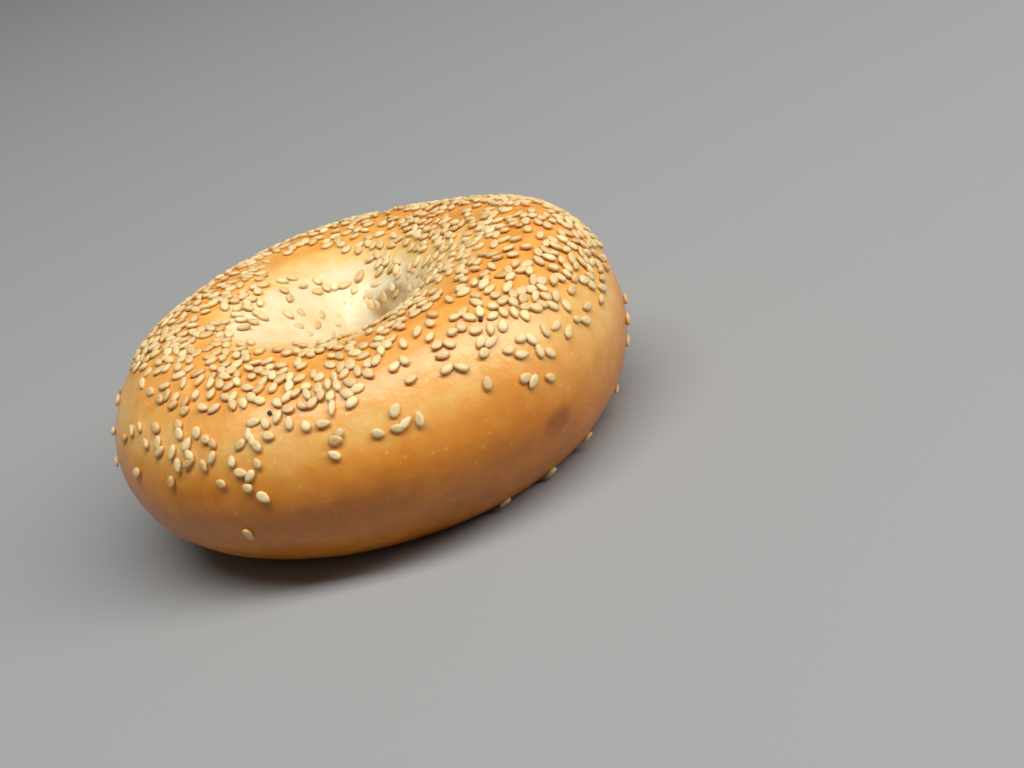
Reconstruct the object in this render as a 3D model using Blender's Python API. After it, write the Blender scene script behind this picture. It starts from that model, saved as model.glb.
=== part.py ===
"""A sesame bagel, standing flat on its base as it left the oven.

The bread is one hand-rolled ring of dough: broad and low on one side, narrow and high on the other,
with a funnel that falls to a small hole. Sesame seeds are baked into its crust and are one solid with it.
Metres, +Z up. The origin is under the middle of the ring, on the face that the bagel rests on.
"""

import math
import random

import bmesh
import bpy
from mathutils import Matrix, Vector

# Driving dimensions of the dough ring
DIAMETER = 0.118
HEIGHT = 0.045
CROWN_REACH = 0.0208
HOLE_RADIUS = 0.0078
HOLE_CENTRE = Vector((0.0028, -0.0017))
RING_CENTRE = Vector((0.0001, -0.0022))

# The section: how high its widest levels are, as shares of the height, and how square its quarters are
SIDE_LEVEL = 0.50
HOLE_LEVEL = 0.42
SQUARENESS = 1.9
FUNNEL_SQUARENESS = 2.37
FUNNEL_SQUARENESS_SWING = 0.3
FUNNEL_SQUAREST_AT = math.radians(45)
BASE_CUT = 0.003
BASE_EASE = 0.001
BASE_TAPER = 0.003

# What hand rolling does to the ring: waves of (number round the ring, size, angle of a peak in degrees)
PLAN_WAVES = ((2, 0.007, 54), (3, 0.037, -29), (4, 0.015, 8))
HEIGHT_WAVES = ((1, 0.015, -133), (2, 0.052, -10))
CROWN_WAVES = ((1, 0.188, -174),)

# Facets of the ring
RING_SEGMENTS = 64
SECTION_SEGMENTS = 28

# Sesame seeds
SEED_LENGTH = 0.0033
SEED_WIDTH = 0.0020
SEED_THICKNESS = 0.0012
SEED_TAPER = 0.35
SEED_SPACING = 0.0047
SEED_COUNT = 215
SEED_DRAW = 7

# Where the seeds lie, in degrees of the section, and how softly they thin out at each edge
SEED_LINE = 27
SEED_LINE_FADE = 14
FUNNEL_LINE = 150
FUNNEL_FADE = 50

# Patches where few seeds stuck, as (ring angle, section angle, reach round the ring, reach up the section)
BARE_PATCHES = (
    (-105, 34, 9, 18), (-72, 38, 8, 16), (-66, 60, 9, 10), (-132, 52, 9, 8), (-176, 34, 12, 12),
    (28, 36, 14, 12), (84, 34, 12, 14), (138, 38, 16, 12), (118, 112, 26, 8),
)

# Seeds on their own, below the rest and round the edge of the base, as (ring angle, section angle)
LONE_SEEDS = (
    (-158, 30), (-151, 15), (-138, 17), (-126, 18), (-120, 14), (-117, 9), (-98, 24), (-64, 27),
    (-55, 12), (-50, 9), (-66, -56), (-51, -57), (-37, -50), (-22, -40), (-12, -24), (-160, -50),
    (35, 12), (62, 20), (78, 8), (104, 16), (131, 10), (160, 14), (55, -52), (118, -56), (150, -48),
)

CRUST_COLOUR = (0.66, 0.36, 0.12, 1.0)
CRUST_ROUGHNESS = 0.42


def waves(angle, terms):
    """One plus the sum of these waves round the ring."""
    return 1 + sum(size * math.cos(count * (angle - math.radians(at))) for count, size, at in terms)


def power(value, squareness):
    """The side of a superellipse at this cosine or sine."""
    return math.copysign(abs(value) ** (2 / squareness), value)


def eased_floor(height):
    """The height, pressed flat where it would be under the base, with a short round edge."""
    if height >= BASE_EASE:
        return height
    if height <= -BASE_EASE:
        return 0.0
    return (height + BASE_EASE) ** 2 / (4 * BASE_EASE)


def hole_edge(around):
    """How far the round hole's wall is from the ring's centre in this direction."""
    towards = Vector((math.cos(around), math.sin(around)))
    aside = HOLE_CENTRE.cross(towards)
    return HOLE_CENTRE.dot(towards) + math.sqrt(HOLE_RADIUS**2 - aside**2)


def crust_point(around, section):
    """The crust at an angle round the ring and an angle round its section: 0 outside, 90 on the crown."""
    height = HEIGHT * waves(around, HEIGHT_WAVES)
    reach = CROWN_REACH * waves(around, CROWN_WAVES)
    crown_radius = DIAMETER / 2 * waves(around, PLAN_WAVES) - reach
    cosine, sine = math.cos(section), math.sin(section)
    outside, above = cosine >= 0, sine >= 0
    squareness = SQUARENESS
    if above and not outside:
        squareness = FUNNEL_SQUARENESS + FUNNEL_SQUARENESS_SWING * math.cos(around - FUNNEL_SQUAREST_AT)
    half_width = reach if outside else crown_radius - hole_edge(around)
    level = height * (SIDE_LEVEL if outside else HOLE_LEVEL)
    half_height = height - level if above else level + BASE_CUT
    radius = crown_radius + half_width * power(cosine, squareness)
    z = level + half_height * power(sine, squareness)
    if not above:
        radius -= BASE_TAPER * ((level - z) / half_height) ** 2
    x = RING_CENTRE.x + radius * math.cos(around)
    y = RING_CENTRE.y + radius * math.sin(around)
    return Vector((x, y, eased_floor(z)))


def crust_frame(around, section):
    """The crust's point, its direction round the ring, its direction up the section, and its normal."""
    step = 0.002
    point = crust_point(around, section)
    along = (crust_point(around + step, section) - point).normalized()
    up = (crust_point(around, section + step) - point).normalized()
    normal = along.cross(up).normalized()
    return point, along, normal.cross(along), normal


def in_collection(obj, collection):
    """Moves the object into this collection."""
    for other in list(obj.users_collection):
        other.objects.unlink(obj)
    collection.objects.link(obj)


def crust_material():
    """The golden crust, satin from boiling and baking."""
    material = bpy.data.materials.new("golden_crust")
    material.use_nodes = True
    shader = material.node_tree.nodes["Principled BSDF"]
    shader.inputs["Base Color"].default_value = CRUST_COLOUR
    shader.inputs["Roughness"].default_value = CRUST_ROUGHNESS
    shader.inputs["Metallic"].default_value = 0.0
    return material


def dough_ring(collection):
    """The bread: a torus whose every point is moved to the crust."""
    major = DIAMETER / 2 - CROWN_REACH
    bpy.ops.mesh.primitive_torus_add(
        major_segments=RING_SEGMENTS,
        minor_segments=SECTION_SEGMENTS,
        major_radius=major,
        minor_radius=CROWN_REACH,
    )
    ring = bpy.context.object
    ring.name = "bagel"
    for vertex in ring.data.vertices:
        x, y, z = vertex.co
        vertex.co = crust_point(math.atan2(y, x), math.atan2(z, math.hypot(x, y) - major))
    ring.data.shade_smooth()
    in_collection(ring, collection)
    return ring


def seed_share(around, section):
    """How readily a seed stays at this place, given in degrees, from 0 to 1."""
    above_line = (section - SEED_LINE) / SEED_LINE_FADE
    outside_funnel = (FUNNEL_LINE - section) / FUNNEL_FADE
    share = max(0.0, min(1.0, above_line, outside_funnel))
    for patch_around, patch_section, reach_around, reach_section in BARE_PATCHES:
        aside = ((around - patch_around + 180) % 360 - 180) / reach_around
        above = (section - patch_section) / reach_section
        share *= 1 - math.exp(-(aside**2) - above**2)
    return share


def seed_places(draw):
    """Places for the seeds, as (around, section): the lone ones, then the rest, clear of each other."""
    places = [(math.radians(a), math.radians(s)) for a, s in LONE_SEEDS]
    points = [crust_point(*place) for place in places]
    widest = DIAMETER / 2
    while len(places) < SEED_COUNT:
        around = draw.uniform(-180, 180)
        section = draw.uniform(SEED_LINE, FUNNEL_LINE)
        place = math.radians(around), math.radians(section)
        point = crust_point(*place)
        if draw.random() > seed_share(around, section) * point.xy.length / widest:
            continue
        if min((point - other).length for other in points) < SEED_SPACING:
            continue
        places.append(place)
        points.append(point)
    return places


def seed_mesh():
    """A sesame seed lying along X: a flat drop, round at one end and pointed at the other."""
    shape = bmesh.new()
    bmesh.ops.create_icosphere(shape, subdivisions=1, radius=0.5)
    for vertex in shape.verts:
        narrowing = 1 - SEED_TAPER * (vertex.co.x + 0.5)
        vertex.co.x *= SEED_LENGTH
        vertex.co.y *= SEED_WIDTH * narrowing
        vertex.co.z *= SEED_THICKNESS
    mesh = bpy.data.meshes.new("seed")
    shape.to_mesh(mesh)
    shape.free()
    return mesh


def scatter_seeds(collection):
    """Every seed as its own object, half sunk in the crust and turned any way."""
    draw = random.Random(SEED_DRAW)
    mesh = seed_mesh()
    for number, (around, section) in enumerate(seed_places(draw)):
        point, along, up, normal = crust_frame(around, section)
        seed = bpy.data.objects.new(f"seed_{number:03d}", mesh)
        lie = Matrix((along, up, normal)).transposed().to_4x4()
        turn = Matrix.Rotation(draw.uniform(0, math.tau), 4, "Z")
        seed.matrix_world = Matrix.Translation(point) @ lie @ turn
        collection.objects.link(seed)


def bake_in(ring, collection):
    """Makes the seeds one solid with the bread, and clears them away."""
    union = ring.modifiers.new("seeds", "BOOLEAN")
    union.operation = "UNION"
    union.operand_type = "COLLECTION"
    union.collection = collection
    union.solver = "EXACT"
    bpy.context.view_layer.objects.active = ring
    bpy.ops.object.modifier_apply(modifier=union.name)
    for seed in list(collection.objects):
        bpy.data.objects.remove(seed)
    bpy.data.collections.remove(collection)


def main():
    for obj in list(bpy.data.objects):
        bpy.data.objects.remove(obj)
    bagel = bpy.data.collections.new("bagel")
    seeds = bpy.data.collections.new("seeds")
    for collection in (bagel, seeds):
        bpy.context.scene.collection.children.link(collection)
    ring = dough_ring(bagel)
    scatter_seeds(seeds)
    bake_in(ring, seeds)
    ring.data.materials.clear()
    ring.data.materials.append(crust_material())


main()
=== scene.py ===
import math
import random

import bpy
import numpy as np
from mathutils import Matrix, Vector, noise


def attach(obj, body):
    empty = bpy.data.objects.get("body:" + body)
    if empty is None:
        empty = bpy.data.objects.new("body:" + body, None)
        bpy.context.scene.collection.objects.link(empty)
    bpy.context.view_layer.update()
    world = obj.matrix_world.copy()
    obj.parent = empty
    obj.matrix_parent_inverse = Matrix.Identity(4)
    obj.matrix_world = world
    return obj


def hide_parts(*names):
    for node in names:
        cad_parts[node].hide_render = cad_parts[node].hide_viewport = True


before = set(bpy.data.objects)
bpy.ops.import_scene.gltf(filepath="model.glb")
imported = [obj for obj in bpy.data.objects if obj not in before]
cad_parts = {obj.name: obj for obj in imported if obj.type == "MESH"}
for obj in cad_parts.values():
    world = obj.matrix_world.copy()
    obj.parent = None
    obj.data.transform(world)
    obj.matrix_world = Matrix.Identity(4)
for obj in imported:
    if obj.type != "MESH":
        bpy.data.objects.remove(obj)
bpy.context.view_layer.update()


# Mottling
# Oven and dough never colour a crust or a seed evenly. This effect moves a share up and down in soft spots
# and belongs to both.


def set_inputs(node, values):
    """Gives these inputs of the node their values, by name."""
    for name, value in values.items():
        node.inputs[name].default_value = value


def texture(tree, kind, values):
    """A texture that lies in the piece's own coordinates."""
    pattern = tree.nodes.new(kind)
    set_inputs(pattern, values)
    place = tree.nodes.new("ShaderNodeTexCoord")
    tree.links.new(place.outputs["Object"], pattern.inputs["Vector"])
    return pattern


def calculated(tree, operation, *values):
    """What this operation makes of the values, each a number or another node's output."""
    node = tree.nodes.new("ShaderNodeMath")
    node.operation = operation
    for socket, value in zip(node.inputs, values):
        if isinstance(value, float):
            socket.default_value = value
        else:
            tree.links.new(value, socket)
    return node.outputs[0]


mottling = bpy.data.node_groups.new("mottling", "ShaderNodeTree")
for socket in ("Share", "Scale", "Amount"):
    mottling.interface.new_socket(name=socket, in_out="INPUT", socket_type="NodeSocketFloat")
mottling.interface.new_socket(name="Share", in_out="OUTPUT", socket_type="NodeSocketFloat")
given = mottling.nodes.new("NodeGroupInput")
result = mottling.nodes.new("NodeGroupOutput")
spots = texture(mottling, "ShaderNodeTexNoise", {"Detail": 4})
mottling.links.new(given.outputs["Scale"], spots.inputs["Scale"])
centred = calculated(mottling, "SUBTRACT", spots.outputs["Fac"], 0.5)
moved = calculated(mottling, "MULTIPLY_ADD", centred, given.outputs["Amount"], given.outputs["Share"])
mottling.links.new(moved, result.inputs["Share"])


def mottled(tree, share, scale, amount):
    """This share moved up and down by the effect: a larger scale gives smaller spots."""
    effect = tree.nodes.new("ShaderNodeGroup")
    effect.node_tree = mottling
    set_inputs(effect, {"Scale": scale, "Amount": amount})
    tree.links.new(share, effect.inputs["Share"])
    return effect.outputs["Share"]


# The ring of bread
# One strip of dough rolled by hand and joined into a ring, boiled, then baked on its flat side: broad and
# low on the left, narrow and high on the right, with a funnel that falls to a small round hole.
DIAMETER = 0.118
HEIGHT = 0.0451
CROWN_REACH = 0.0208
HOLE_RADIUS = 0.0078
HOLE_CENTRE = (0.0028, -0.0017)
RING_CENTRE = (0.0001, -0.0022)

# The section: how high its widest levels are, as shares of the height, and how square its quarters are
SIDE_LEVEL = 0.50
HOLE_LEVEL = 0.42
SQUARENESS = 1.9
FUNNEL_SQUARENESS = 2.37
FUNNEL_SQUARENESS_SWING = 0.3
FUNNEL_SQUAREST_AT = 45
BASE_CUT = 0.003
BASE_EASE = 0.001
BASE_TAPER = 0.003

# What hand rolling does to the ring: waves of (number round the ring, size, angle of a peak in degrees)
PLAN_WAVES = ((2, 0.007, 54), (3, 0.037, -29), (4, 0.015, 8))
HEIGHT_WAVES = ((1, 0.015, -133), (2, 0.052, -10))
CROWN_WAVES = ((1, 0.188, -174),)

# Facets of the ring
RING_SEGMENTS = 256
SECTION_SEGMENTS = 220


def waves(angle, terms):
    """One plus the sum of these waves round the ring."""
    return 1 + sum(size * np.cos(count * (angle - math.radians(at))) for count, size, at in terms)


def power(value, squareness):
    """The side of a superellipse at this cosine or sine."""
    return np.sign(value) * np.abs(value) ** (2 / squareness)


def smooth_dough(around, section):
    """The crust without its relief, as x, y and z, at two angles in radians.

    Round the ring, 0 is at the right, and minus a quarter turn is towards the camera. Round the section, 0
    is outermost, a quarter turn is the crown, and a half turn is the wall of the hole.
    """
    height = HEIGHT * waves(around, HEIGHT_WAVES)
    reach = CROWN_REACH * waves(around, CROWN_WAVES)
    crown_radius = DIAMETER / 2 * waves(around, PLAN_WAVES) - reach
    ahead = HOLE_CENTRE[0] * np.cos(around) + HOLE_CENTRE[1] * np.sin(around)
    aside = HOLE_CENTRE[0] * np.sin(around) - HOLE_CENTRE[1] * np.cos(around)
    hole_edge = ahead + np.sqrt(HOLE_RADIUS**2 - aside**2)
    cosine, sine = np.cos(section), np.sin(section)
    outside, above = cosine >= 0, sine >= 0
    turn = np.cos(around - math.radians(FUNNEL_SQUAREST_AT))
    funnel = FUNNEL_SQUARENESS + FUNNEL_SQUARENESS_SWING * turn
    squareness = np.where(above & ~outside, funnel, SQUARENESS)
    half_width = np.where(outside, reach, crown_radius - hole_edge)
    level = height * np.where(outside, SIDE_LEVEL, HOLE_LEVEL)
    half_height = np.where(above, height - level, level + BASE_CUT)
    radius = crown_radius + half_width * power(cosine, squareness)
    z = level + half_height * power(sine, squareness)
    radius = radius - np.where(above, 0, BASE_TAPER * ((level - z) / half_height) ** 2)
    eased = np.where(z <= -BASE_EASE, 0, (z + BASE_EASE) ** 2 / (4 * BASE_EASE))
    z = np.where(z >= BASE_EASE, z, eased)
    x = RING_CENTRE[0] + radius * np.cos(around)
    y = RING_CENTRE[1] + radius * np.sin(around)
    return np.stack((x, y, z), axis=-1)


def dough_normal(around, section):
    """Straight out of the crust, from its slopes over a small step."""
    step = 1e-3
    here = smooth_dough(around, section)
    along = smooth_dough(around + step, section) - here
    up = smooth_dough(around, section + step) - here
    normal = np.cross(along, up)
    return normal / np.linalg.norm(normal, axis=-1, keepdims=True)


def lumps(points, spacing, seed, octaves=2):
    """Soft noise from about -1 to 1 at these points, whose lumps are this far apart."""
    shift = Vector((seed * 7.3, seed * 3.1, seed * 5.7))
    return np.array([noise.fractal(Vector(p) / spacing + shift, 1.0, 2.0, octaves) for p in points])


torus_radius = DIAMETER / 2 - CROWN_REACH
bpy.ops.object.select_all(action="DESELECT")
bpy.ops.mesh.primitive_torus_add(
    major_segments=RING_SEGMENTS,
    minor_segments=SECTION_SEGMENTS,
    major_radius=torus_radius,
    minor_radius=CROWN_REACH,
)
crust = bpy.context.object
crust.name = "crust"
torus = np.array([vertex.co for vertex in crust.data.vertices])
around = np.arctan2(torus[:, 1], torus[:, 0])
section = np.arctan2(torus[:, 2], np.hypot(torus[:, 0], torus[:, 1]) - torus_radius)
points = smooth_dough(around, section)
normals = dough_normal(around, section)

# Relief: broad hand-made unevenness and the small blisters that boiling leaves, less towards the flat base
UNEVENNESS = 0.00035
UNEVENNESS_SPACING = 0.016
BLISTERS = 0.00007
BLISTER_SPACING = 0.0026
FULL_RELIEF_FROM = 0.004
relief = UNEVENNESS * lumps(points, UNEVENNESS_SPACING, 1) + BLISTERS * lumps(points, BLISTER_SPACING, 2)
above_base = np.clip(points[:, 2] / FULL_RELIEF_FROM, 0, 1)
points = points + normals * (relief * above_base)[:, None]
crust.data.vertices.foreach_set("co", points.ravel())
crust.data.shade_smooth()

# How brown the crust is, with painted light and shade in places: 0 is painted shade, 0.15 pale dry dough,
# 0.5 gold and 1 brown
BAKED = 0.53
LEAST_BAKED = 0.17
BAKED_UNEVENNESS = 0.06
BAKED_SPACING = 0.012
BASE_BAKED = 0.12
BASE_BAKED_HEIGHT = 0.001

# How it changes up the section all round, as (angle where the change begins, where it is full, how much)
# Browner down the sides, partly the crust's own colour and partly painted shade; a little paler towards
# the base, which is painted light; and paler into the funnel
COLOUR_AND_PAINTED_LIGHT_BANDS = ((31, -4, 0.24), (-12, -46, -0.07), (96, 110, -0.17), (108, 132, -0.28))

# Where it differs, as (ring angle, section angle, reach round the ring, reach up the section, how much)
ALL_ROUND = 1e6
COLOUR_AND_PAINTED_LIGHT_PATCHES = (
    # Paler over the shoulder, partly the crust's own colour and partly painted light, and a little paler
    # over the crown
    (0, 38, ALL_ROUND, 13, -0.11), (0, 78, ALL_ROUND, 24, -0.05),
    # Pale at the right end, and a little at the left end
    (-30, 6, 24, 22, -0.31), (-164, 34, 18, 26, -0.09),
    # The funnel, pale on the left and on the far side, and darker on the right wall, which is painted
    # shade
    (-156, 112, 30, 16, -0.20), (120, 112, 40, 14, -0.10), (20, 128, 40, 16, 0.12),
    # The brown spot low on the right and the browner crust around it, then a wide painted shade over the
    # lower right
    (-52, -13, 3.5, 6, 0.36), (-59, -14, 14, 9, 0.08), (-66, -34, 30, 18, 0.10),
    # The front, on the left: two browner spots, and a wide paler patch that is painted light
    (-108, -6, 12, 7, 0.04), (-134, 13, 8, 5, 0.10), (-112, 32, 36, 14, -0.05),
)

# Painted shade deep on the right wall of the hole, where little light reaches: darker than the pale dough
# above it
WALL_PAINTED_SHADE = (38, 153, 33, 12)
WALL_SHADE_STRENGTH = 1.5


def patch(turn, rise, at_turn, at_rise, reach_turn, reach_rise):
    """One at this place on the crust and nothing far from it, for one angle pair or many, in degrees."""
    aside = ((turn - at_turn + 180) % 360 - 180) / reach_turn
    above = (rise - at_rise) / reach_rise
    return np.exp(-(aside**2) - above**2)


def ramp(value, start, end):
    """How far the value is from the start to the end, from 0 to 1, eased at both."""
    share = np.clip((value - start) / (end - start), 0, 1)
    return share * share * (3 - 2 * share)


turn, rise = np.degrees(around), np.degrees(section)
brown_and_shade_share = BAKED + BAKED_UNEVENNESS * lumps(points, BAKED_SPACING, 3, octaves=3)
brown_and_shade_share = brown_and_shade_share + BASE_BAKED * ramp(points[:, 2], BASE_BAKED_HEIGHT, 0)
for start, end, amount in COLOUR_AND_PAINTED_LIGHT_BANDS:
    brown_and_shade_share = brown_and_shade_share + amount * ramp(rise, start, end)
for *where, amount in COLOUR_AND_PAINTED_LIGHT_PATCHES:
    brown_and_shade_share = brown_and_shade_share + amount * patch(turn, rise, *where)
brown_and_shade_share = np.maximum(brown_and_shade_share, LEAST_BAKED)
# Painted shade deep on the right wall of the hole: the share falls towards the darkest colour there
brown_and_shade_share = brown_and_shade_share * (1 - np.minimum(1, WALL_SHADE_STRENGTH * patch(turn, rise, *WALL_PAINTED_SHADE)))
attribute = crust.data.attributes.new("brown_and_shade_share", "FLOAT", "POINT")
attribute.data.foreach_set("value", np.clip(brown_and_shade_share, 0, 1).astype(np.float32))


def new_look(piece, name):
    """A new material on this piece, as its node tree and its shader."""
    look = bpy.data.materials.new(name)
    look.use_nodes = True
    piece.data.materials.append(look)
    return look.node_tree, look.node_tree.nodes["Principled BSDF"]


def own_value(tree, name):
    """What the piece's mesh says under this name at each place."""
    reader = tree.nodes.new("ShaderNodeAttribute")
    reader.attribute_name = name
    return reader.outputs["Fac"]


def coloured(tree, share, colours):
    """The colour for this share, from a list of (share, colour) with the ends first and last."""
    gradient = tree.nodes.new("ShaderNodeValToRGB")
    stops = gradient.color_ramp.elements
    for stop, (position, colour) in zip(stops, (colours[0], colours[-1])):
        stop.position, stop.color = position, (*colour, 1)
    for position, colour in colours[1:-1]:
        stops.new(position).color = (*colour, 1)
    tree.links.new(share, gradient.inputs["Fac"])
    return gradient.outputs["Color"]


# The darkest colour, at 0, is the painted shade deep in the hole
CRUST_COLOURS = (
    (0.00, (0.43, 0.27, 0.11)),
    (0.12, (0.80, 0.73, 0.50)),
    (0.26, (0.86, 0.58, 0.22)),
    (0.42, (0.83, 0.42, 0.098)),
    (0.55, (0.76, 0.302, 0.044)),
    (0.72, (0.66, 0.213, 0.008)),
    (1.00, (0.38, 0.095, 0.004)),
)
crust_tree, crust_shader = new_look(crust, "golden crust")
# This share carries the crust's browning together with the painted light and shade
read_brown_and_shade = own_value(crust_tree, "brown_and_shade_share")
mottled_brown_and_shade = mottled(crust_tree, read_brown_and_shade, scale=260, amount=0.24)

# Small pale flecks, which show where the crust is brown
flecks = texture(crust_tree, "ShaderNodeTexVoronoi", {"Scale": 340})
fleck_share = crust_tree.nodes.new("ShaderNodeMapRange")
set_inputs(fleck_share, {"From Min": 0.18, "From Max": 0.04, "To Max": 0.26})
crust_tree.links.new(flecks.outputs["Distance"], fleck_share.inputs["Value"])
fleck_strength = calculated(crust_tree, "MULTIPLY", fleck_share.outputs["Result"], read_brown_and_shade)
flecked = calculated(crust_tree, "SUBTRACT", mottled_brown_and_shade, fleck_strength)
crust_colour = coloured(crust_tree, flecked, CRUST_COLOURS)
crust_tree.links.new(crust_colour, crust_shader.inputs["Base Color"])

# Satin from boiling, with a fine grain, and a little light that goes into the bread
set_inputs(crust_shader, {
    "Roughness": 0.34,
    "Specular IOR Level": 0.72,
    "Specular Tint": (1.0, 0.94, 0.86, 1),
    "Subsurface Weight": 0.12,
    "Subsurface Radius": (0.004, 0.002, 0.001),
    "Subsurface Scale": 1.0,
})
grain = texture(crust_tree, "ShaderNodeTexNoise", {"Scale": 900, "Detail": 3})
bump = crust_tree.nodes.new("ShaderNodeBump")
set_inputs(bump, {"Strength": 0.25, "Distance": 0.0004})
crust_tree.links.new(grain.outputs["Fac"], bump.inputs["Height"])
crust_tree.links.new(bump.outputs["Normal"], crust_shader.inputs["Normal"])
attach(crust, "root")
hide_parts("bagel")


# The sesame seeds
# Hulled seeds, flat drops with a pointed end, pressed into the wet dough before baking: thick over the
# crown, thinning to lone seeds down the sides and into the funnel.
SEED_SIZE = (0.0032, 0.00215, 0.0012)
SEED_SIDES = 10
SEED_RINGS = 6
SEED_COUNT = 1055
SEED_SPACING = 0.00185
SEED_DRAW = 7

# The drop narrows to its point, and both faces are a little hollow
SEED_TAPER = 0.42
TAPER_POWER = 2.2
SEED_HOLLOW = 0.36
HOLLOW_REACH = 0.5

# How dark a seed is, from toast and painted shade: more at the rim and the point than on the faces, and in
# the hollow of most seeds
# The darker rim is partly toast and partly painted shade where the seed meets the crust, and the darker
# hollow is painted shade
RIM_TOAST_AND_SHADE = 0.30
POINT_TOAST = 0.25
FACE_TOAST = -0.15
DENT_SHADE_REACH = 0.45
DENT_SHADE = (-0.1, 0.6)
TONE = 0.33
TONE_SPREAD = 0.17

# How much the seeds differ in how they tip, in radians, and in length, width and thickness, as shares
NOD_SPREAD = 0.09
ROLL_SPREAD = 0.12
SIZE_SPREAD = (0.09, 0.09, 0.1)

# Where the seeds end, in degrees of the section, every 15 degrees round the ring from the left
LOWEST_SEEDS = (
    50, 58, 55, 53, 50, 50, 47, 60, 53, 40, 32, 23,
    25, 29, 37, 44, 34, 27, 37, 46, 45, 36, 32, 44,
)
DEEPEST_SEEDS = (
    130, 128, 112, 108, 112, 118, 124, 128, 132, 138, 146, 150,
    150, 145, 140, 137, 133, 122, 104, 99, 99, 106, 114, 126,
)
LOWEST_FADE = 7
DEEPEST_FADE = 9

# Patches where few seeds stuck, as (ring angle, section angle, reach round the ring, reach up the section)
BARE_PATCHES = (
    (-72, 58, 8, 12), (-129, 54, 6, 7), (98, 112, 22, 9), (-156, 108, 20, 5), (52, 58, 18, 12),
    (150, 104, 10, 6), (30, 80, 12, 8), (120, 62, 20, 10), (165, 66, 12, 10), (-105, 76, 6, 5),
    (-38, 82, 7, 6),
)

# How the rest gather: a share that sticks anywhere, more or less of it in clumps, and the least of all
STICKING = 0.62
CLUMPING = 1.5
CLUMP_SPACING = 0.0085
LEAST_STICKING = 0.08

# Seeds on their own, as (ring angle, section angle)
LONE_SEEDS = (
    # The front, on the left
    (-137, 44), (-138, 48), (-145, 44), (-151, 41), (-154, 37), (-147, 35), (-143, 37), (-142, 33),
    (-138, 34), (-134, 39), (-132, 45), (-129, 42), (-127, 40), (-127, 33), (-133, 34), (-136, 28),
    (-133, 30), (-129, 29), (-138, 19), (-150, 18), (-125, 20), (-122, 31), (-120, 25), (-118, 23),
    (-116, 29), (-119, 17), (-116, 11), (-120, 39), (-116, 38), (-118, 44), (-117, 41), (-113, 42),
    (-108, 47), (-117, 50), (-114, 49), (-111, 51), (-104, 44), (-100, 43), (-97, 36), (-99, 26),
    (-98, 33), (-89, 30), (-85, 29), (-83, 30), (-80, 29), (-84, 38), (-157, 31), (-123, -12),
    # The front, on the right
    (-64, 29), (-56, 20), (-55, 16), (-51, 12), (-54, 31), (-50, 27), (-48, 22), (-56, 37), (-50, 34),
    (-52, 38), (-58, 46), (-61, 43), (-60, 49), (-59, 56), (-56, 52), (-67, 43), (-70, 46), (-69, 54),
    (-78, 50), (-46, 33), (-43, 31), (-41, 24), (-37, 25), (-35, 21), (-32, 25), (-37, 34), (-26, 20),
    (-26, 30), (-23, 23), (-14, 35), (-17, 31), (-22, 35), (-18, 28), (-20, 25), (-20, 39), (-24, 33),
    # Low on the right, round the edge of the base
    (-66, -53), (-51, -54), (-37, -50), (-22, -40), (-12, -24), (-14, -10), (-9, -4),
    # The left end
    (-160, -50), (-165, 10), (-168, 24), (-171, 38), (178, 30), (170, 18), (172, 40),
    # The far side
    (20, 22), (35, 12), (44, 31), (48, 34), (62, 20), (78, 8), (70, 17), (92, 12), (96, 24), (99, 21),
    (104, 36), (118, 25), (131, 10), (126, 33), (146, 20), (149, 24), (160, 14), (55, -51), (118, -53),
    (150, -48),
    # The funnel
    (136, 115), (127, 116), (127, 124), (120, 131), (109, 130), (101, 131), (92, 132), (91, 142),
    (101, 142), (78, 129), (74, 141), (69, 148), (62, 137), (30, 148), (61, 150), (66, 142), (84, 136),
    (50, 147), (40, 143), (112, 124), (148, 122), (156, 128), (-170, 139), (-164, 144), (170, 148),
    (167, 138), (164, 157), (143, 145), (128, 153), (179, 133),
)

# How far a seed's middle is above the crust. Deep in the funnel it is under it, sunk in the dough.
LIFT = 0.00045
SUNK_LIFT = -0.00025
SUNK_FROM = 128
SUNK_TO = 140


def small_ball(size, sides, rings):
    """A ball squeezed to this length, width and thickness."""
    bpy.ops.object.select_all(action="DESELECT")
    bpy.ops.mesh.primitive_uv_sphere_add(segments=sides, ring_count=rings, radius=0.5)
    ball = bpy.context.object
    bpy.ops.object.mode_set(mode="EDIT")
    bpy.ops.mesh.select_all(action="SELECT")
    bpy.ops.transform.resize(value=size)
    bpy.ops.object.mode_set(mode="OBJECT")
    ball.data.shade_smooth()
    return ball


def lie_on_crust(place, lift, turn):
    """The matrix that lays a seed flat on the crust here, lifted this far and turned this far."""
    spot, normal = Vector(smooth_dough(*place)), Vector(dough_normal(*place))
    upright = normal.to_track_quat("Z", "Y").to_matrix().to_4x4()
    turned = Matrix.Rotation(turn, 4, "Z")
    return Matrix.Translation(spot + normal * lift) @ upright @ turned


def copy_of(model, lie):
    """A copy of the model, with its own mesh, where this matrix puts it."""
    copy = bpy.data.objects.new(model.name, model.data.copy())
    bpy.context.scene.collection.objects.link(copy)
    copy.matrix_world = lie
    return copy


def joined(copies, model, name):
    """The copies as one piece, without the model that they were made from."""
    bpy.data.objects.remove(model)
    bpy.ops.object.select_all(action="DESELECT")
    for copy in copies:
        copy.select_set(True)
    bpy.context.view_layer.objects.active = copies[0]
    bpy.ops.object.join()
    piece = bpy.context.object
    piece.name = name
    bpy.ops.object.transform_apply(location=True, rotation=True, scale=True)
    return piece


def seeds_end(limits, around):
    """The limit at this angle round the ring, read between the nearest two of the list."""
    return np.interp((around + 180) % 360, np.linspace(0, 360, len(limits) + 1), (*limits, limits[0]))


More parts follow.
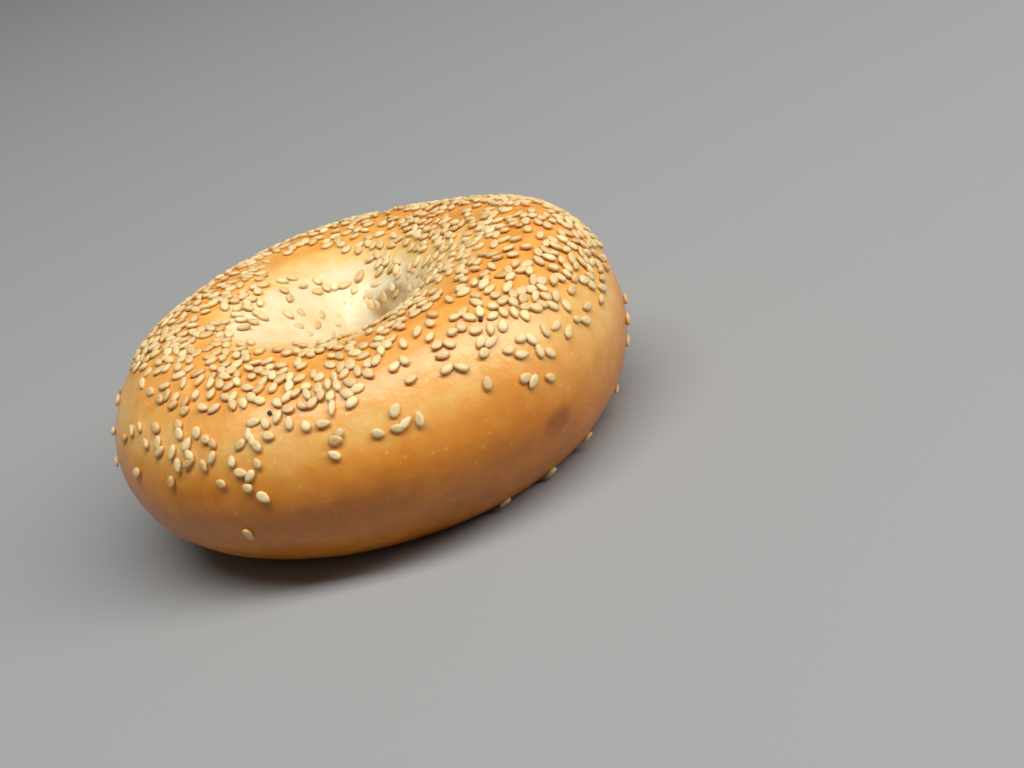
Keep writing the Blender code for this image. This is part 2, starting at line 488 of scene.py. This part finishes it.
def seed_share(around, section, spot):
    """How readily a seed stays at this place, given in degrees, from 0 to 1."""
    above = (section - seeds_end(LOWEST_SEEDS, around)) / LOWEST_FADE
    outside = (seeds_end(DEEPEST_SEEDS, around) - section) / DEEPEST_FADE
    share = max(0.0, min(1.0, above, outside))
    for bare in BARE_PATCHES:
        share *= 1 - patch(around, section, *bare)
    sticking = STICKING + CLUMPING * lumps([spot], CLUMP_SPACING, 0)[0]
    return share * min(1.0, max(LEAST_STICKING, sticking))


seed = small_ball(SEED_SIZE, SEED_SIDES, SEED_RINGS)
edge_toast_and_shade, dent_shade = [], []
for vertex in seed.data.vertices:
    ahead, aside = vertex.co.x / SEED_SIZE[0], vertex.co.y / SEED_SIZE[1]
    along = max(0.0, ahead + 0.5)
    from_middle = math.hypot(ahead, aside) * 2
    vertex.co.y *= 1 - SEED_TAPER * along**TAPER_POWER
    vertex.co.z *= 1 - SEED_HOLLOW * math.exp(-((from_middle / HOLLOW_REACH) ** 2))
    # The darker rim is partly painted shade, and the darker hollow is painted shade
    edge_toast_and_shade.append(RIM_TOAST_AND_SHADE * from_middle**3 + POINT_TOAST * along**4 + FACE_TOAST)
    dent_shade.append(math.exp(-((from_middle / DENT_SHADE_REACH) ** 2)))

# The lone seeds keep their places. The rest fall anywhere, and stay where seeds stick and there is room.
draw = random.Random(SEED_DRAW)
places = [(math.radians(a), math.radians(s)) for a, s in LONE_SEEDS]
taken = [Vector(smooth_dough(*place)) for place in places]
while len(places) < SEED_COUNT:
    at = draw.uniform(-180, 180)
    up = draw.uniform(min(LOWEST_SEEDS), max(DEEPEST_SEEDS))
    candidate = math.radians(at), math.radians(up)
    spot = Vector(smooth_dough(*candidate))
    if draw.random() > seed_share(at, up, spot) * spot.xy.length / (DIAMETER / 2):
        continue
    if min((spot - other).length for other in taken) < SEED_SPACING:
        continue
    places.append(candidate)
    taken.append(spot)

seeds = []
for place in places:
    lift = LIFT + (SUNK_LIFT - LIFT) * ramp(math.degrees(place[1]), SUNK_FROM, SUNK_TO)
    lie = lie_on_crust(place, lift, draw.uniform(0, math.tau))
    nod, roll = draw.gauss(0, NOD_SPREAD), draw.gauss(0, ROLL_SPREAD)
    tipped = Matrix.Rotation(nod, 4, "Y") @ Matrix.Rotation(roll, 4, "X")
    grown = Matrix.Diagonal((*(draw.gauss(1, spread) for spread in SIZE_SPREAD), 1))
    copy = copy_of(seed, lie @ tipped @ grown)
    toast_and_shade_layer = copy.data.attributes.new("toast_and_shade", "FLOAT", "POINT")
    tone, dent = draw.gauss(TONE, TONE_SPREAD), draw.uniform(*DENT_SHADE)
    shares = [tone + edge + dent * middle for edge, middle in zip(edge_toast_and_shade, dent_shade)]
    toast_and_shade_layer.data.foreach_set("value", [min(1, max(0, share)) for share in shares])
    seeds.append(copy)
sesame = joined(seeds, seed, "sesame_seeds")

SESAME_COLOURS = ((0, (0.87, 0.70, 0.37)), (1, (0.60, 0.32, 0.10)))
sesame_tree, sesame_shader = new_look(sesame, "sesame")
toast_and_shade = mottled(sesame_tree, own_value(sesame_tree, "toast_and_shade"), scale=900, amount=0.3)
sesame_colour = coloured(sesame_tree, toast_and_shade, SESAME_COLOURS)
sesame_tree.links.new(sesame_colour, sesame_shader.inputs["Base Color"])
set_inputs(sesame_shader, {"Roughness": 0.45})
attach(sesame, "root")
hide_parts("bagel")


# The poppy seeds
# A few hard blue-black poppy seeds that strayed on to the wet dough and were baked in. Each is a small
# uneven ball.
POPPY_SIZE = (0.0011, 0.0010, 0.0008)
POPPY_SIDES = 16
POPPY_RINGS = 10
POPPY_UNEVENNESS = 0.12
POPPY_LUMPS = 0.0005

# How far a ball's middle is above the crust, as a share of its thickness
POPPY_LIFT = 0.4

# Their places, as (ring angle, section angle)
POPPY_PLACES = ((69, 92), (-56, 60), (-113, 54), (104, 52), (152, 66))
ball = small_ball(POPPY_SIZE, POPPY_SIDES, POPPY_RINGS)
for vertex in ball.data.vertices:
    vertex.co *= 1 + POPPY_UNEVENNESS * noise.noise(vertex.co / POPPY_LUMPS)
balls = []
for at, up in POPPY_PLACES:
    place = math.radians(at), math.radians(up)
    lie = lie_on_crust(place, POPPY_SIZE[2] * POPPY_LIFT, draw.uniform(0, math.tau))
    balls.append(copy_of(ball, lie))
poppy = joined(balls, ball, "poppy_seeds")
_, poppy_shader = new_look(poppy, "poppy")
set_inputs(poppy_shader, {"Base Color": (0.035, 0.028, 0.03, 1), "Roughness": 0.6})
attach(poppy, "root")
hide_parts("bagel")


# Floor, light and camera
# A plain pale floor, one wide softbox across the picture, above it and to the front, and a camera close
# to the bagel, rolled as far as the bagel leans.
FLOOR_SIZE = 12
bpy.ops.object.select_all(action="DESELECT")
bpy.ops.mesh.primitive_plane_add(size=FLOOR_SIZE)
floor = bpy.context.object
floor.name = "floor"
_, floor_shader = new_look(floor, "pale floor")
set_inputs(floor_shader, {"Base Color": (0.31, 0.313, 0.317, 1), "Roughness": 0.8})

# The camera's angles are in degrees, and its place is from the middle of the ring, along its own axes
CAMERA_ABOVE = 26.06
CAMERA_ROLL = 18.86
CAMERA_OFFSET = Vector((0.0259, 0.0147, 0.3809))
FOCAL_LENGTH = 56.25
SENSOR_WIDTH = 36
NEAREST_SEEN = 0.01
camera_data = bpy.data.cameras.new("camera")
camera_data.lens = FOCAL_LENGTH
camera_data.sensor_width = SENSOR_WIDTH
camera_data.clip_start = NEAREST_SEEN
camera = bpy.data.objects.new("camera", camera_data)
bpy.context.scene.collection.objects.link(camera)
looking_down = Matrix.Rotation(math.radians(90 - CAMERA_ABOVE), 4, "X")
sight = looking_down @ Matrix.Rotation(math.radians(-CAMERA_ROLL), 4, "Z")
ring_centre = Matrix.Translation((*RING_CENTRE, 0))
camera.matrix_world = ring_centre @ sight @ Matrix.Translation(CAMERA_OFFSET)
bpy.context.scene.camera = camera

# The lamp's direction from the bagel in the picture: how far right, up and towards the camera
LAMP_TOWARDS = Vector((0.06, 0.78, 0.61))
LAMP_DISTANCE = 1.5
LAMP_WIDTH = 3.2
LAMP_DEPTH = 0.5
LAMP_POWER = 46
LAMP_COLOUR = (1.0, 0.99, 0.96)
lamp_data = bpy.data.lights.new("softbox", "AREA")
lamp_data.shape = "RECTANGLE"
lamp_data.size = LAMP_WIDTH
lamp_data.size_y = LAMP_DEPTH
lamp_data.energy = LAMP_POWER
lamp_data.color = LAMP_COLOUR
lamp = bpy.data.objects.new("softbox", lamp_data)
bpy.context.scene.collection.objects.link(lamp)

# It shines back along its direction, and its long side lies across the picture
back = LAMP_TOWARDS.normalized()
deep = back.cross((1, 0, 0)).normalized()
facing = Matrix((deep.cross(back), deep, back)).transposed().to_4x4()
lamp.matrix_world = sight @ Matrix.Translation(back * LAMP_DISTANCE) @ facing
world = bpy.data.worlds.new("studio")
world.use_nodes = True
set_inputs(world.node_tree.nodes["Background"], {"Color": (1.0, 0.985, 0.96, 1), "Strength": 0.09})
bpy.context.scene.world = world
bpy.context.scene.view_settings.view_transform = "Standard"
